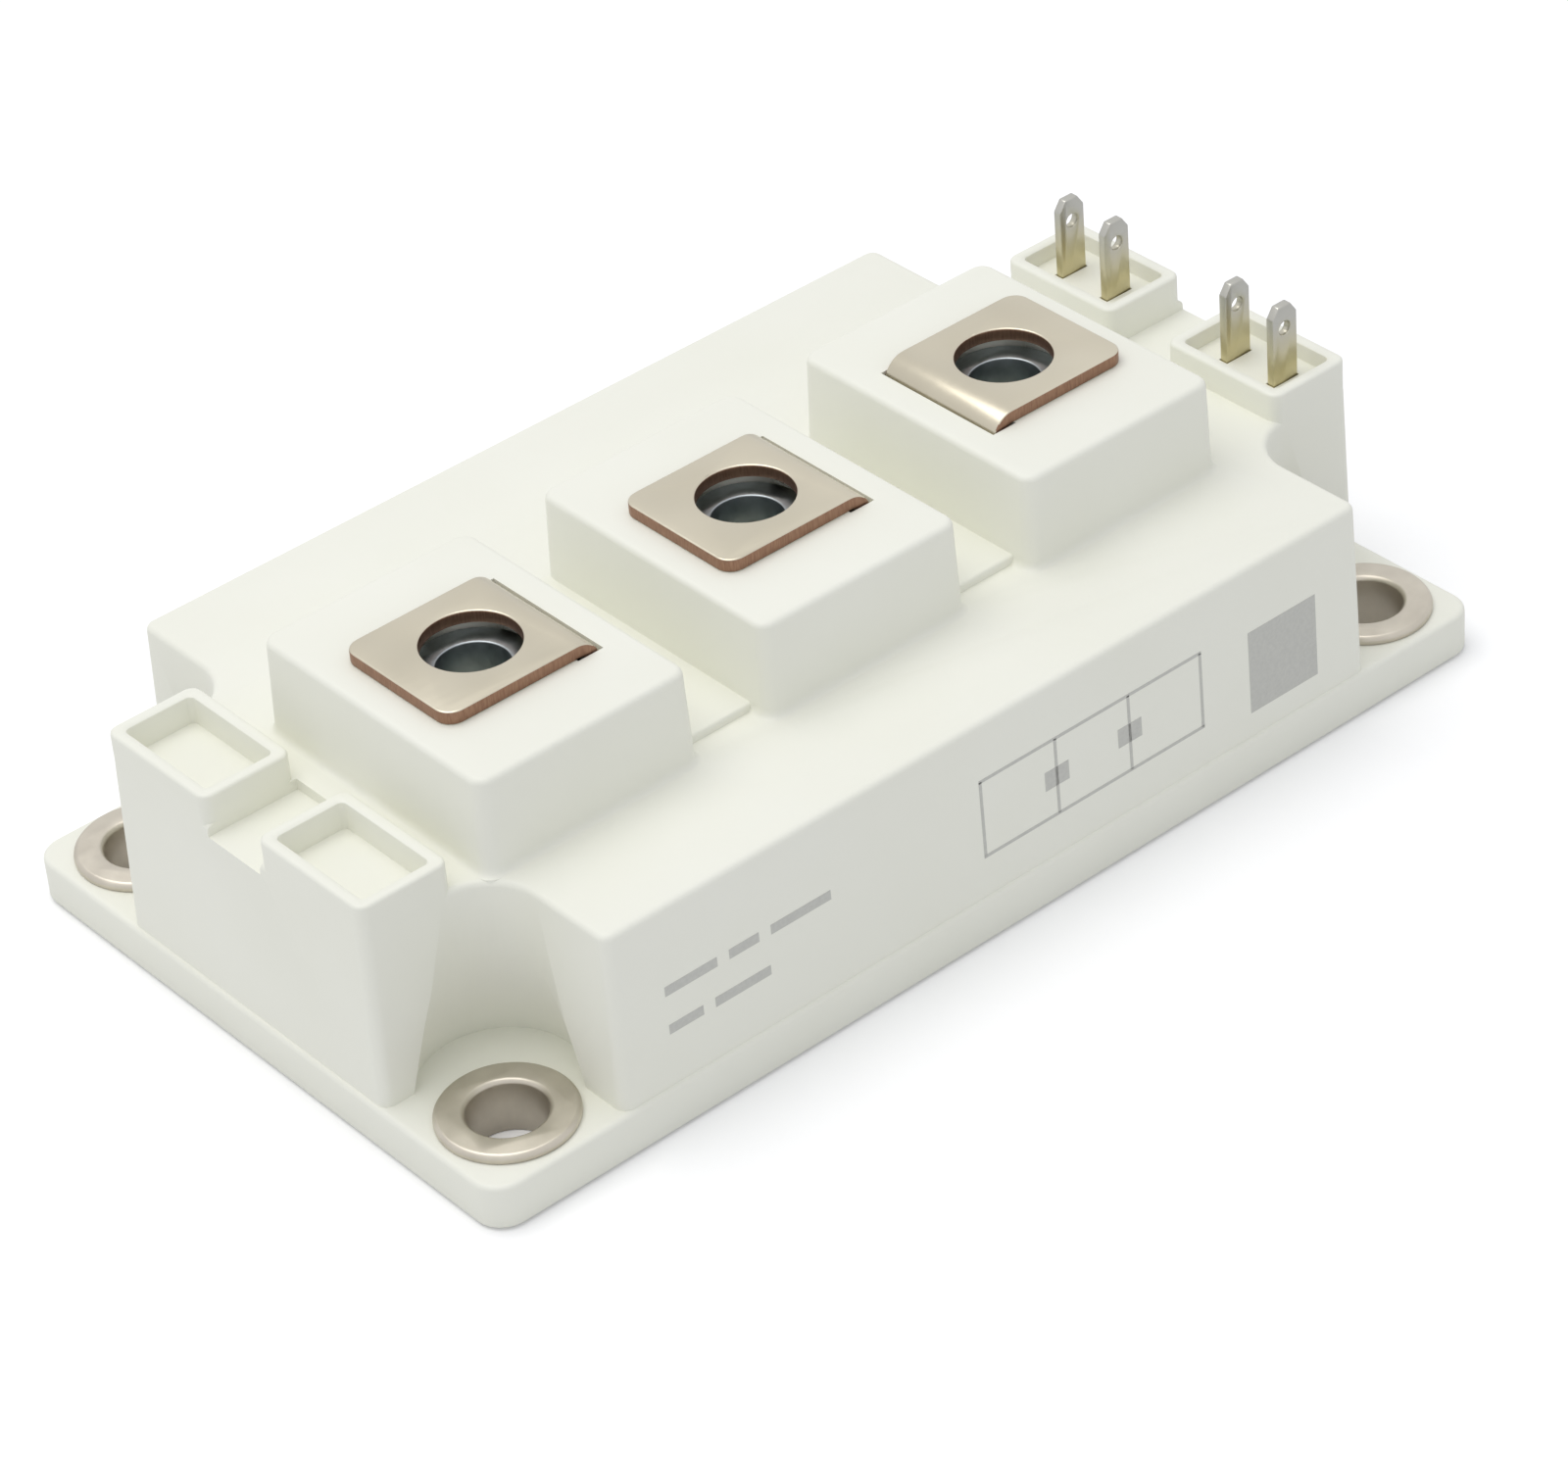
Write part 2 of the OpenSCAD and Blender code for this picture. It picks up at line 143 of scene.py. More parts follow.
def roughBetween(tree, shader, factor, low, high):
    span = addNode(tree, "ShaderNodeMapRange", {"Value": factor}, To_Min=low, To_Max=high)
    tree.links.new(span.outputs["Result"], shader.inputs["Roughness"])


def bumpFrom(tree, shader, height, strength, distance):
    bump = addNode(tree, "ShaderNodeBump", {"Height": height}, Strength=strength, Distance=distance)
    tree.links.new(bump.outputs["Normal"], shader.inputs["Normal"])
    return bump


def mouldedPbt():
    # glass-filled PBT, injection moulded: dull warm white with a fine eroded grain
    look = {"deep": "#EEEEE1", "pale": "#F3F3E9", "roughness": 0.5, "grain": 0.22 * mm, "cloud": 14 * mm}
    mat, tree, shader, coords = newMaterial("mouldedPbt", look["pale"], 0.0, look["roughness"], 1.55)
    cloud = addNode(tree, "ShaderNodeTexNoise", {"Vector": coords}, Scale=1 / look["cloud"], Detail=3.0)
    tintBetween(tree, shader, cloud.outputs["Fac"], look["deep"], look["pale"])
    grain = addNode(tree, "ShaderNodeTexNoise", {"Vector": coords}, Scale=1 / look["grain"], Detail=2.0)
    roughBetween(tree, shader, grain.outputs["Fac"], 0.44, 0.58)
    bumpFrom(tree, shader, grain.outputs["Fac"], 0.16, 0.02 * mm)  # grain drawn three times as coarse as it is
    return mat


def nickelSheet():
    # satin nickel over rolled copper: soft streaks along the rolling direction, slightly wavy
    look = {"dark": "#BDB6A4", "pale": "#DDD6C4", "roughness": 0.3, "streak": 0.35 * mm, "wave": 9 * mm}
    mat, tree, shader, coords = newMaterial("nickelSheet", look["pale"], 1.0, look["roughness"])
    stretched = addNode(tree, "ShaderNodeMapping", {"Vector": coords}, Scale=(0.12, 1.0, 1.0))
    streak = addNode(tree, "ShaderNodeTexNoise", {"Vector": stretched.outputs[0]}, Scale=1 / look["streak"], Detail=3.0)
    wave = addNode(tree, "ShaderNodeTexNoise", {"Vector": coords}, Scale=1 / look["wave"], Detail=1.0)
    tintBetween(tree, shader, wave.outputs["Fac"], look["dark"], look["pale"])
    roughBetween(tree, shader, streak.outputs["Fac"], 0.24, 0.4)
    fine = bumpFrom(tree, shader, streak.outputs["Fac"], 0.12, 0.01 * mm)
    broad = addNode(tree, "ShaderNodeBump", {"Height": wave.outputs["Fac"]}, Strength=0.5, Distance=0.3 * mm)
    tree.links.new(broad.outputs["Normal"], fine.inputs["Normal"])
    return mat


def shearedCopper():
    # bare copper where the sheet was blanked: warm, dull, with upright shear lines
    look = {"dark": "#7A5A4A", "pale": "#B08E78", "roughness": 0.42, "line": 0.15 * mm}
    mat, tree, shader, coords = newMaterial("shearedCopper", look["pale"], 1.0, look["roughness"])
    upright = addNode(tree, "ShaderNodeMapping", {"Vector": coords}, Scale=(1.0, 1.0, 0.15))
    line = addNode(tree, "ShaderNodeTexNoise", {"Vector": upright.outputs[0]}, Scale=1 / look["line"], Detail=2.0)
    tintBetween(tree, shader, line.outputs["Fac"], look["dark"], look["pale"])
    bumpFrom(tree, shader, line.outputs["Fac"], 0.3, 0.02 * mm)
    return mat


def rolledEyelet():
    # nickel-plated steel tube, its head rolled flat: grey-beige with faint turning marks
    look = {"dark": "#B9B2A6", "pale": "#DAD4C8", "roughness": 0.4, "mark": 0.3 * mm, "patch": 2.5 * mm}
    mat, tree, shader, coords = newMaterial("rolledEyelet", look["pale"], 1.0, look["roughness"])
    patch = addNode(tree, "ShaderNodeTexNoise", {"Vector": coords}, Scale=1 / look["patch"], Detail=4.0)
    tintBetween(tree, shader, patch.outputs["Fac"], look["dark"], look["pale"])
    mark = addNode(tree, "ShaderNodeTexNoise", {"Vector": coords}, Scale=1 / look["mark"], Detail=2.0)
    roughBetween(tree, shader, patch.outputs["Fac"], 0.34, 0.5)
    bumpFrom(tree, shader, mark.outputs["Fac"], 0.25, 0.015 * mm)
    return mat


def zincNut():
    # cold-forged steel nut, clear zinc: bluish and bright
    look = {"dark": "#8E969B", "pale": "#BCC4C8", "roughness": 0.3, "patch": 1.2 * mm}
    mat, tree, shader, coords = newMaterial("zincNut", look["pale"], 1.0, look["roughness"])
    patch = addNode(tree, "ShaderNodeTexNoise", {"Vector": coords}, Scale=1 / look["patch"], Detail=3.0)
    tintBetween(tree, shader, patch.outputs["Fac"], look["dark"], look["pale"])
    roughBetween(tree, shader, patch.outputs["Fac"], 0.24, 0.4)
    bumpFrom(tree, shader, patch.outputs["Fac"], 0.2, 0.02 * mm)
    return mat


def tinnedTab(tipHeight):
    # blanked brass tab, dipped in tin: silver at the tip and yellower lower down
    look = {"tip": "#BDBCB6", "low": "#CEC5A0", "roughness": 0.3, "band": 6 * mm, "streak": 0.4 * mm}
    mat, tree, shader, coords = newMaterial("tinnedTab", look["tip"], 1.0, look["roughness"])
    place = addNode(tree, "ShaderNodeSeparateXYZ", {"Vector": coords})
    fade = addNode(
        tree, "ShaderNodeMapRange", {"Value": place.outputs["Z"]},
        From_Min=tipHeight - look["band"], From_Max=tipHeight - 1.5 * mm,
    )
    tintBetween(tree, shader, fade.outputs["Result"], look["low"], look["tip"])
    streak = addNode(tree, "ShaderNodeTexNoise", {"Vector": coords}, Scale=1 / look["streak"], Detail=3.0)
    roughBetween(tree, shader, streak.outputs["Fac"], 0.24, 0.42)
    bumpFrom(tree, shader, streak.outputs["Fac"], 0.15, 0.015 * mm)
    return mat


def groundNickel():
    # nickel-plated copper plate, ground flat: fine scratches along the module
    look = {"dark": "#A9A59B", "pale": "#C9C5BA", "roughness": 0.34, "scratch": 0.12 * mm, "patch": 20 * mm}
    mat, tree, shader, coords = newMaterial("groundNickel", look["pale"], 1.0, look["roughness"])
    along = addNode(tree, "ShaderNodeMapping", {"Vector": coords}, Scale=(0.03, 1.0, 1.0))
    scratch = addNode(tree, "ShaderNodeTexNoise", {"Vector": along.outputs[0]}, Scale=1 / look["scratch"], Detail=3.0)
    patch = addNode(tree, "ShaderNodeTexNoise", {"Vector": coords}, Scale=1 / look["patch"], Detail=3.0)
    tintBetween(tree, shader, patch.outputs["Fac"], look["dark"], look["pale"])
    roughBetween(tree, shader, scratch.outputs["Fac"], 0.26, 0.44)
    bumpFrom(tree, shader, scratch.outputs["Fac"], 0.2, 0.01 * mm)
    return mat


def speckled(name, dark, pale, metallic, low, high, size):
    mat, tree, shader, coords = newMaterial(name, pale, metallic, (low + high) / 2)
    speck = addNode(tree, "ShaderNodeTexNoise", {"Vector": coords}, Scale=1 / size, Detail=3.0)
    tintBetween(tree, shader, speck.outputs["Fac"], dark, pale)
    roughBetween(tree, shader, speck.outputs["Fac"], low, high)
    bumpFrom(tree, shader, speck.outputs["Fac"], 0.1, 0.01 * mm)
    return mat


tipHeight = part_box("control_pin_1")[1][2]
pbt = mouldedPbt()
nickel = nickelSheet()
copperEdge = shearedCopper()
eyeletMetal = rolledEyelet()
nutZinc = zincNut()
tabMetal = tinnedTab(tipHeight)
plateNickel = groundNickel()
alumina = speckled("firedAlumina", "#DEDDD6", "#EFEEE9", 0.0, 0.5, 0.7, 0.4 * mm)  # fired ceramic: chalky white
foilCopper = speckled("etchedCopperFoil", "#9C6446", "#C98A66", 1.0, 0.3, 0.45, 0.6 * mm)  # bonded foil: soft pink-brown
silicon = speckled("metallisedSilicon", "#2B2D33", "#4A4D57", 0.6, 0.12, 0.25, 1.5 * mm)  # sawn wafer: dark and glossy
laserMark = speckled("laserMark", "#BEBEB8", "#D0D0C9", 0.0, 0.6, 0.75, 0.3 * mm)  # plastic darkened by a laser
print("materials made")

# Housing

shell = {
    "flange": (106.4, 61.4), "flangeCorner": 2.5, "flangeLow": 0.25, "flangeTop": 4.2, "flangeRound": 0.45,
    "bodyLow": 4.0, "bodyHalf": (52.8, 30.3), "waist": 40.2, "lobe": 16.8, "bodyTaper": (0.99132, 0.98488),
    "recessFillet": 5.0, "deck": 20.6, "uprightRound": 1.0, "topRound": 0.55,
    "blockTop": (20.6, 27.8), "blockLean": 0.243, "blockHeight": 29.3, "blockFlare": 0.42,
    "blockX": (-30.7, -2.7, 25.3), "blockY": -3.7, "padHeight": 21.4, "padFront": -15.6, "padBack": 10.2,
    "tower": (8.6, 13.146), "towerPlace": (48.04, 9.973), "towerLow": 19.0, "towerTop": 23.2,
    "pocket": (6.4, 10.946), "pocketFloor": {-1: 19.5, 1: 21.6},
    "gapHalf": 3.4, "gapLength": 9.6, "gapFloor": 19.6, "gapShift": 0.5,
    "scoopPlace": (44.4, 20.5), "scoopLow": 6.7, "scoopHigh": 3.708, "scoopTop": 16.2,
    "screwPlace": (46.5, 24.0), "eyeletBore": 8.3,
    "nutAcross": 10.2, "nutFloor": 23.3, "relief": 7.0, "reliefFloor": 20.6,
    "legSlot": (6.05, 7.55), "legSlotWidth": 13.7, "bendSide": (1, 1, -1),
    "bendRoom": 2.35, "bendPlace": 6.225, "bendFloor": 28.15,
    "tabX": 48.04, "tabY": (12.8, 7.2, -7.5, -13.1), "tabSlot": (3.0, 1.0), "tabSlotTop": 22.5,
    "innerHalf": (37.65, 27.64), "innerLobe": (50.14, 14.35), "innerTop": 18.6, "scoopWall": 1.6,
    "plateRoom": (104.0, 59.0), "plateTop": 3.0, "plateCorner": 1.4,
    "innerFoot": 2.5, "slotFoot": 18.0, "above": 30.0,
}
quarters = [(-1, -1), (1, -1), (1, 1), (-1, 1)]


def toEdit(piece, kind):
    pick(piece)
    bpy.context.tool_settings.mesh_select_mode = (kind == "VERT", kind == "EDGE", kind == "FACE")


def selectParts(piece, kind, test):
    # marks vertices, edges or faces for which test(points) holds, then goes to edit mode
    toEdit(piece, kind)
    mesh = piece.data
    for group in (mesh.vertices, mesh.edges, mesh.polygons):
        group.foreach_set("select", [False] * len(group))
    at = [v.co / mm for v in mesh.vertices]
    for part in {"VERT": mesh.vertices, "EDGE": mesh.edges, "FACE": mesh.polygons}[kind]:
        part.select = test([at[part.index]] if kind == "VERT" else [at[i] for i in part.vertices])
    bpy.ops.object.mode_set(mode="EDIT")


def roundedFace(name, size, corner, centre, z, segments=6):
    bpy.ops.mesh.primitive_plane_add(size=1, location=(centre[0] * mm, centre[1] * mm, z * mm))
    face = bpy.context.object
    face.name = name
    face.scale = (size[0] * mm, size[1] * mm, 1)
    applyPlace(face)
    if corner:
        toEdit(face, "VERT")
        bpy.ops.object.mode_set(mode="EDIT")
        bpy.ops.mesh.select_all(action="SELECT")
        bpy.ops.mesh.bevel(offset=corner * mm, segments=segments, affect="VERTICES")
        bpy.ops.mesh.select_mode(type="FACE")
        bpy.ops.mesh.select_all(action="SELECT")
    return face


def liftFace(centre, rise, grow=(1, 1), z=0):
    bpy.ops.mesh.extrude_region_move(TRANSFORM_OT_translate={"value": (0, 0, rise * mm)})
    if grow != (1, 1):
        bpy.ops.transform.resize(value=(grow[0], grow[1], 1), center_override=(centre[0] * mm, centre[1] * mm, z * mm))


def closeUp(piece):
    bpy.ops.mesh.select_all(action="SELECT")
    bpy.ops.mesh.normals_make_consistent(inside=False)
    bpy.ops.object.mode_set(mode="OBJECT")
    return piece


def slab(name, size, corner, centre, low, high, taper=(1, 1), segments=6):
    piece = roundedFace(name, size, corner, centre, low, segments)
    if not corner:
        toEdit(piece, "FACE")
        bpy.ops.object.mode_set(mode="EDIT")
        bpy.ops.mesh.select_all(action="SELECT")
    liftFace(centre, high - low, taper, high)
    return closeUp(piece)


def roundLevel(piece, level, radius, segments=4):
    # rounds every edge that lies flat at this height
    selectParts(piece, "EDGE", lambda pts: all(abs(p.z - level) < 0.003 for p in pts))
    bpy.ops.mesh.bevel(offset=radius * mm, segments=segments, affect="EDGES", clamp_overlap=False)
    bpy.ops.object.mode_set(mode="OBJECT")


def combine(piece, tool, how):
    pick(piece)
    mod = piece.modifiers.new(how.lower(), "BOOLEAN")
    mod.operation = how
    mod.solver = "EXACT"
    mod.object = tool
    bpy.ops.object.modifier_apply(modifier=mod.name)
    bpy.data.objects.remove(tool, do_unlink=True)


def isAt(point, x, y):
    return abs(abs(point.x) - x) < 0.01 and abs(abs(point.y) - y) < 0.01


def isPast(point, x, y):
    return abs(point.x) > x and abs(point.y) > y


def makeBody():
    # waisted outline from a 3 x 3 grid without its corners, lifted with the draft
    bpy.ops.mesh.primitive_grid_add(x_subdivisions=3, y_subdivisions=3, size=2, location=(0, 0, 0))
    body = bpy.context.object
    body.name = "body"
    acrossX = (-shell["bodyHalf"][0], -shell["waist"], shell["waist"], shell["bodyHalf"][0])
    acrossY = (-shell["bodyHalf"][1], -shell["lobe"], shell["lobe"], shell["bodyHalf"][1])
    for v in body.data.vertices:
        column, row = round((v.co.x + 1) * 1.5), round((v.co.y + 1) * 1.5)
        v.co = Vector((acrossX[column], acrossY[row], shell["bodyLow"])) * mm
    selectParts(body, "FACE", lambda pts: isPast(sum(pts, Vector()) / len(pts), shell["waist"], shell["lobe"]))
    bpy.ops.mesh.delete(type="FACE")
    bpy.ops.mesh.select_all(action="SELECT")
    bpy.ops.mesh.dissolve_faces()
    bpy.ops.object.mode_set(mode="OBJECT")
    selectParts(body, "VERT", lambda pts: isAt(pts[0], shell["waist"], shell["lobe"]))
    bpy.ops.mesh.bevel(offset=shell["recessFillet"] * mm, segments=14, affect="VERTICES")
    bpy.ops.object.mode_set(mode="OBJECT")
    selectParts(body, "VERT", lambda pts: isAt(pts[0], shell["bodyHalf"][0], shell["lobe"])
                or isAt(pts[0], shell["waist"], shell["bodyHalf"][1]))
    bpy.ops.mesh.bevel(offset=shell["uprightRound"] * mm, segments=6, affect="VERTICES")
    bpy.ops.mesh.select_mode(type="FACE")
    bpy.ops.mesh.select_all(action="SELECT")
    liftFace((0, 0), shell["deck"] - shell["bodyLow"], shell["bodyTaper"], shell["deck"])
    closeUp(body)
    roundLevel(body, shell["deck"], shell["topRound"])
    return body


def makeBlock(x):
    # cove at the foot, leaning sides, rounded top
    centre = (x, shell["blockY"])
    topX, topY = shell["blockTop"]
    flare = shell["blockFlare"]
    deck = shell["deck"]
    lean = shell["blockLean"] / (shell["blockHeight"] - deck)
    cove = ((-0.2, 1.0), (0.0, 1.0), (0.06, 0.62), (0.22, 0.29), (0.45, 0.08), (0.75, 0.0))
    steps = [(deck + rise, flare * share) for rise, share in cove]

    def wide(z, extra):
        return 2 * (extra + lean * (shell["blockHeight"] - z))

    size = (topX + wide(*steps[0]), topY + wide(*steps[0]))
    block = roundedFace("block", size, shell["uprightRound"] + flare, centre, steps[0][0], 7)
    last = steps[0]
    for step in steps[1:] + [(shell["blockHeight"], 0.0)]:
        grow = ((topX + wide(*step)) / (topX + wide(*last)), (topY + wide(*step)) / (topY + wide(*last)))
        liftFace(centre, step[0] - last[0], grow, step[0])
        last = step
    closeUp(block)
    roundLevel(block, shell["blockHeight"], shell["topRound"])
    return block


def makeTower(sideX, sideY):
    # box with a rounded top edge; its pocket is cut by a tool that widens at the rim
    centre = (sideX * shell["towerPlace"][0], sideY * shell["towerPlace"][1])
    tower = slab("tower", shell["tower"], shell["uprightRound"], centre, shell["towerLow"], shell["towerTop"])
    roundLevel(tower, shell["towerTop"], 0.3, 3)
    top = shell["towerTop"]
    steps = [(shell["pocketFloor"][sideX], 0.0), (top - 0.28, 0.0), (top - 0.12, 0.04), (top + 0.02, 0.24)]
    sizeX, sizeY = shell["pocket"]
    pocket = roundedFace("pocket", (sizeX, sizeY), 0.5, centre, steps[0][0], 5)
    last = steps[0]
    for step in steps[1:]:
        grow = tuple((size + 2 * step[1]) / (size + 2 * last[1]) for size in (sizeX, sizeY))
        liftFace(centre, step[0] - last[0], grow, step[0])
        last = step
    combine(tower, closeUp(pocket), "DIFFERENCE")
    return tower


def coneTool(centre, lowRadius, highRadius, low, high, vertices=64):
    bpy.ops.mesh.primitive_cone_add(
        vertices=vertices, radius1=lowRadius * mm, radius2=highRadius * mm, depth=(high - low) * mm,
        location=(centre[0] * mm, centre[1] * mm, (low + high) / 2 * mm),
    )
    tool = bpy.context.object
    applyPlace(tool)
    return tool


housing = slab("moulded_housing", shell["flange"], shell["flangeCorner"], (0, 0), shell["flangeLow"], shell["flangeTop"], segments=8)
roundLevel(housing, shell["flangeTop"], shell["flangeRound"])
roundLevel(housing, shell["flangeLow"], 0.15, 2)
combine(housing, makeBody(), "UNION")
for x in shell["blockX"]:
    combine(housing, makeBlock(x), "UNION")
for i in (0, 1):
    low, high = shell["blockX"][i] + 9, shell["blockX"][i + 1] - 9
    middle = ((low + high) / 2, (shell["padFront"] + shell["padBack"]) / 2)
    pad = slab("pad", (high - low, shell["padBack"] - shell["padFront"]), 0, middle, 20.0, shell["padHeight"])
    roundLevel(pad, shell["padHeight"], 0.2, 2)
    combine(housing, pad, "UNION")
for sideX, sideY in quarters:
    combine(housing, makeTower(sideX, sideY), "UNION")
print("housing: outer shapes joined")

inner = slab("inner", [2 * half for half in shell["innerHalf"]], 0, (0, 0), shell["innerFoot"], shell["innerTop"])
lobes = slab("lobes", [2 * half for half in shell["innerLobe"]], 0, (0, 0), shell["innerFoot"], shell["innerTop"])
combine(inner, lobes, "UNION")
wall = shell["scoopWall"]
for sideX, sideY in quarters:
    place = (sideX * shell["scoopPlace"][0], sideY * shell["scoopPlace"][1])
    widest = shell["scoopLow"] + wall
    foot = coneTool(place, widest, widest, 2.0, shell["flangeTop"])
    cone = coneTool(place, widest, shell["scoopHigh"] + wall, shell["flangeTop"] - 0.01, shell["scoopTop"] + wall)
    combine(inner, foot, "DIFFERENCE")
    combine(inner, cone, "DIFFERENCE")
combine(inner, slab("plateRoom", shell["plateRoom"], shell["plateCorner"], (0, 0), -1.0, shell["plateTop"]), "UNION")
combine(housing, inner, "DIFFERENCE")
for sideX, sideY in quarters:
    place = (sideX * shell["scoopPlace"][0], sideY * shell["scoopPlace"][1])
    scoop = coneTool(place, shell["scoopLow"], shell["scoopHigh"], shell["flangeTop"], shell["scoopTop"])
    combine(housing, scoop, "DIFFERENCE")
    screw = (sideX * shell["screwPlace"][0], sideY * shell["screwPlace"][1])
    combine(housing, coneTool(screw, shell["eyeletBore"] / 2, shell["eyeletBore"] / 2, -1, 9), "DIFFERENCE")
for x, turn in zip(shell["blockX"], shell["bendSide"]):
    place = (x, shell["blockY"])
    toCorner = shell["nutAcross"] / math.sqrt(3)
    nutRoom = coneTool(place, toCorner, toCorner, shell["nutFloor"], shell["above"], 6)
    combine(housing, nutRoom, "DIFFERENCE")
    combine(housing, coneTool(place, shell["relief"] / 2, shell["relief"] / 2, shell["reliefFloor"], 24), "DIFFERENCE")
    near, far = shell["legSlot"]
    width = shell["legSlotWidth"]
    slotPlace = (x + turn * (near + far) / 2, shell["blockY"])
    legSlot = slab("legSlot", (far - near, width), 0, slotPlace, shell["slotFoot"], shell["above"])
    bendPlace = (x + turn * shell["bendPlace"], shell["blockY"])
    bendRoom = slab("bendRoom", (shell["bendRoom"], width), 0, bendPlace, shell["bendFloor"], shell["above"])
    combine(housing, legSlot, "DIFFERENCE")
    combine(housing, bendRoom, "DIFFERENCE")
for y in shell["tabY"]:
    tabSlot = slab("tabSlot", shell["tabSlot"], 0, (shell["tabX"], y), shell["slotFoot"], shell["tabSlotTop"])
    combine(housing, tabSlot, "DIFFERENCE")
for sideX in (-1, 1):
    gapPlace = (sideX * (shell["towerPlace"][0] + shell["gapShift"]), 0)
    gap = slab("gap", (shell["gapLength"], 2 * shell["gapHalf"]), 0, gapPlace, shell["gapFloor"], shell["towerTop"] + 0.8)
    combine(housing, gap, "DIFFERENCE")
print("housing: hollows cut")

pick(housing)
bpy.ops.object.mode_set(mode="EDIT")
bpy.ops.mesh.select_all(action="SELECT")
bpy.ops.mesh.remove_doubles(threshold=2e-6)
bpy.ops.object.mode_set(mode="OBJECT")
smoothPiece(housing, 35)
housing.data.materials.append(pbt)
standFor(housing, "white_plastic", "housing")
print("housing:", len(housing.data.polygons), "faces")

# Power terminals

terminalShape = {"edge": 0.16 * mm}
for i in (1, 2, 3):
    name = "power_terminal_%d" % i
    terminal = copyOfNode(name, "terminal_sheet_%d" % i)
    bevelEdges(terminal, terminalShape["edge"], 3)
    smoothPiece(terminal, 35)
    terminal.data.materials.append(nickel)
    terminal.data.materials.append(copperEdge)
    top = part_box(name)[1][2]
    for face in terminal.data.polygons:
        upright = abs(face.normal.z) < 0.5
        nearTop = top - 1.15 * mm < face.center.z < top - 0.05 * mm
        if upright and (nearTop or abs(face.normal.y) > 0.9):
            face.material_index = 1
    standFor(terminal, "terminal_metal", name)
print("terminals done")

# Eyelets, nuts and tabs

for i in (1, 2, 3, 4):
    name = "mounting_eyelet_%d" % i
    eyelet = copyOfNode(name, "rolled_eyelet_%d" % i)
    bevelEdges(eyelet, 0.12 * mm, 2)
    smoothPiece(eyelet, 40)
    eyelet.data.materials.append(eyeletMetal)
    standFor(eyelet, "eyelet_metal", name)

for i in (1, 2, 3):
    name = "terminal_nut_%d" % i
    nut = copyOfNode(name, "hex_nut_%d" % i)
    bevelEdges(nut, 0.12 * mm, 2)
    smoothPiece(nut, 35)
    nut.data.materials.append(nutZinc)
    standFor(nut, "nut_steel", name)

for i in (1, 2, 3, 4):
    name = "control_pin_%d" % i
    tab = copyOfNode(name, "control_tab_%d" % i)
    bevelEdges(tab, 0.1 * mm, 2)
    smoothPiece(tab, 35)
    tab.data.materials.append(tabMetal)
    standFor(tab, "tab_metal", name)
print("eyelets, nuts and tabs done")

# Inner pieces keep their solids and get their finish

innerLooks = {
    "baseplate": plateNickel,
    "tile_backing": foilCopper,
    "ceramic_tile": alumina,
    "tile_copper": foilCopper,
    "igbt_chip": silicon,
    "diode_chip": silicon,
}
for name, node in nodes.items():
    for start, look in innerLooks.items():
        if name.startswith(start):
            node.data.materials.clear()
            node.data.materials.append(look)

# Marks on the long side

markShape = {
    "proud": 0.02, "sunk": 0.05, "line": 0.3,
    "patch": (26.9, 34.6, 6.5, 14.4), "rail": (8.0, 15.2), "reach": (-2.5, 21.5),
    "box": (1.3, 10.7, 12.5), "dashStart": -35.0, "dashHalf": 0.45, "dashSpace": 1.2,
    "dashRows": ((13.0, (5.2, 3.0, 6.1)), (9.4, (3.4, 5.6))),
}


def markPlate(x0, x1, z0, z1):
    bpy.ops.mesh.primitive_cube_add(size=1)
    plate = bpy.context.object
    thick = markShape["proud"] + markShape["sunk"]
    plate.scale = ((x1 - x0) * mm, thick * mm, (z1 - z0) * mm)
    plate.location = Vector(((x0 + x1) / 2, thick / 2 - markShape["proud"], (z0 + z1) / 2 - shell["bodyLow"])) * mm
    applyPlace(plate)
    return plate


# plain patch, a ladder-like figure and two rows of dashes, lasered into the wall
plates = [markPlate(*markShape["patch"])]
half = markShape["line"] / 2
left, right = markShape["reach"]
for z in markShape["rail"]:
    plates.append(markPlate(left - half, right + half, z - half, z + half))
for step in range(4):
    x = left + (right - left) * step / 3
    plates.append(markPlate(x - half, x + half, markShape["rail"][0], markShape["rail"][1]))
    if step in (1, 2):
        boxHalf, boxLow, boxHigh = markShape["box"]
        plates.append(markPlate(x - boxHalf, x + boxHalf, boxLow, boxHigh))
for z, widths in markShape["dashRows"]:
    x = markShape["dashStart"]
    for width in widths:
        plates.append(markPlate(x, x + width, z - markShape["dashHalf"], z + markShape["dashHalf"]))
        x += width + markShape["dashSpace"]
pick(plates[0])
for plate in plates[1:]:
    plate.select_set(True)
bpy.ops.object.join()
marking = bpy.context.object
marking.name = "side_marking"
drop = shell["bodyHalf"][1] * (1 - shell["bodyTaper"][1])
marking.rotation_euler = (-math.atan2(drop, shell["deck"] - shell["bodyLow"]), 0, 0)
marking.location = (0, -shell["bodyHalf"][1] * mm, shell["bodyLow"] * mm)
applyPlace(marking)
marking.data.materials.append(laserMark)
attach(marking, "root")
print("marks done")

# Stage, light and camera

stageSetup = {
    "floorHalf": 2.0, "floorDrop": 0.02 * mm, "floorGlow": 0.1,
    "skyDiffuse": 0.66, "skyGlossy": 0.92, "keyPower": 1.68, "keySize": 0.5,
    "keyPlace": (-0.1, 0.1, 0.6),
}

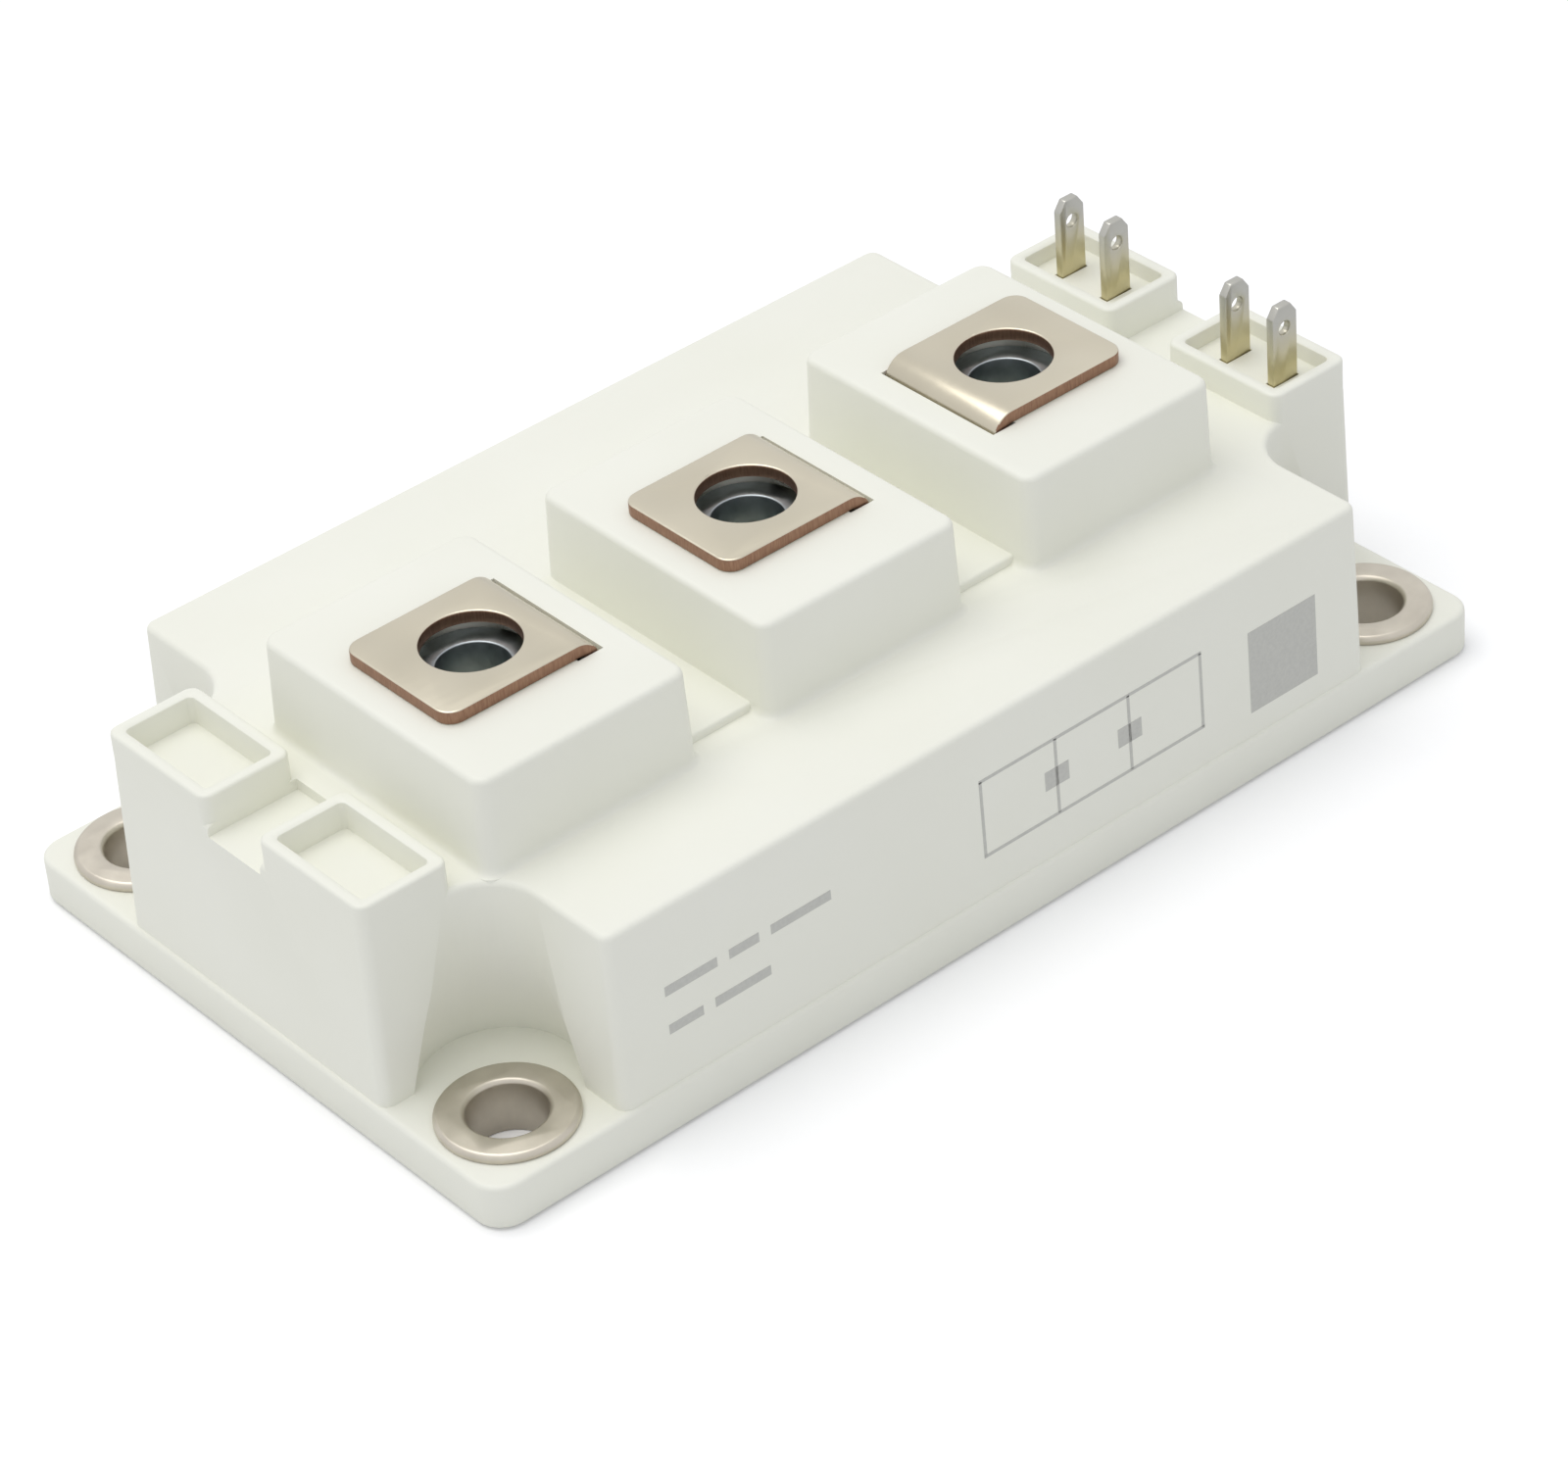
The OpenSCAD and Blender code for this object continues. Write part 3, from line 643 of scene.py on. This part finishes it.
bpy.ops.mesh.primitive_plane_add(size=2 * stageSetup["floorHalf"], location=(0, 0, -stageSetup["floorDrop"]))
floor = bpy.context.object
floor.name = "floor"
floorMat = bpy.data.materials.new("paleFloor")
floorMat.use_nodes = True
floorTree = floorMat.node_tree
floorShader = floorTree.nodes["Principled BSDF"]
floorPath = addNode(floorTree, "ShaderNodeLightPath")
floorTone = addNode(floorTree, "ShaderNodeMix", {"Factor": floorPath.outputs["Is Camera Ray"]}, data_type="RGBA")
floorTone.inputs[6].default_value = linear("#F2F2F1")
floorTone.inputs[7].default_value = linear("#FFFFFF")
floorTree.links.new(floorTone.outputs[2], floorShader.inputs["Base Color"])
glow = addNode(floorTree, "ShaderNodeMath", {0: floorPath.outputs["Is Camera Ray"]}, operation="MULTIPLY")
glow.inputs[1].default_value = stageSetup["floorGlow"]
floorShader.inputs["Emission Color"].default_value = (1, 1, 1, 1)
floorTree.links.new(glow.outputs[0], floorShader.inputs["Emission Strength"])
floorShader.inputs["Roughness"].default_value = 0.9
floorShader.inputs["Specular IOR Level"].default_value = 0.1
floor.data.materials.append(floorMat)

world = bpy.data.worlds.new("studio")
bpy.context.scene.world = world
world.use_nodes = True
worldTree = world.node_tree
worldTree.nodes.clear()
path = addNode(worldTree, "ShaderNodeLightPath")
direct = {0: path.outputs["Is Camera Ray"], 1: path.outputs["Is Transmission Ray"]}
seen = addNode(worldTree, "ShaderNodeMath", direct, operation="MAXIMUM")
plainSky = addNode(worldTree, "ShaderNodeBackground", Color=linear("#F7F9FF"), Strength=stageSetup["skyDiffuse"])
glossySky = addNode(worldTree, "ShaderNodeBackground", Color=(1, 1, 1, 1), Strength=stageSetup["skyGlossy"])
whiteSky = addNode(worldTree, "ShaderNodeBackground", Color=(1, 1, 1, 1), Strength=1.0)
lighting = {0: path.outputs["Is Glossy Ray"], 1: plainSky.outputs[0], 2: glossySky.outputs[0]}
sky = addNode(worldTree, "ShaderNodeMixShader", lighting)
backdrop = addNode(worldTree, "ShaderNodeMixShader", {0: seen.outputs[0], 1: sky.outputs[0], 2: whiteSky.outputs[0]})
addNode(worldTree, "ShaderNodeOutputWorld", {"Surface": backdrop.outputs[0]})

bpy.ops.object.light_add(type="AREA", location=stageSetup["keyPlace"])
key = bpy.context.object
key.name = "overheadSoftbox"
key.data.shape = "SQUARE"
key.data.size = stageSetup["keySize"]
key.data.energy = stageSetup["keyPower"]
key.data.color = (1.0, 0.985, 0.95)
key.rotation_euler = (Vector((0, 0, 0)) - key.location).to_track_quat("-Z", "Y").to_euler()

cameraSetup = {
    "azimuth": -37.9, "elevation": 36.0, "roll": -5.0, "distance": 450 * mm,
    "right": 1.28 * mm, "up": 2.64 * mm, "lens": 123.4, "sensor": 36,
}
az, el, roll = (math.radians(cameraSetup[k]) for k in ("azimuth", "elevation", "roll"))
outward = Vector((math.sin(az) * math.cos(el), -math.cos(az) * math.cos(el), math.sin(el)))
side = (-outward).cross(Vector((0, 0, 1))).normalized()
rise = side.cross(-outward)
camRight = math.cos(roll) * side + math.sin(roll) * rise
camUp = -math.sin(roll) * side + math.cos(roll) * rise
camData = bpy.data.cameras.new("productCamera")
camData.lens = cameraSetup["lens"]
camData.sensor_width = cameraSetup["sensor"]
camData.sensor_fit = "HORIZONTAL"
camData.clip_start = 0.01
camera = bpy.data.objects.new("productCamera", camData)
bpy.context.scene.collection.objects.link(camera)
camera.matrix_world = Matrix.Translation(
    outward * cameraSetup["distance"] + camRight * cameraSetup["right"] + camUp * cameraSetup["up"]
) @ Matrix((camRight, camUp, outward)).transposed().to_4x4()
bpy.context.scene.camera = camera
bpy.context.scene.view_settings.view_transform = "Standard"
print("stage ready")

print("scene ready")
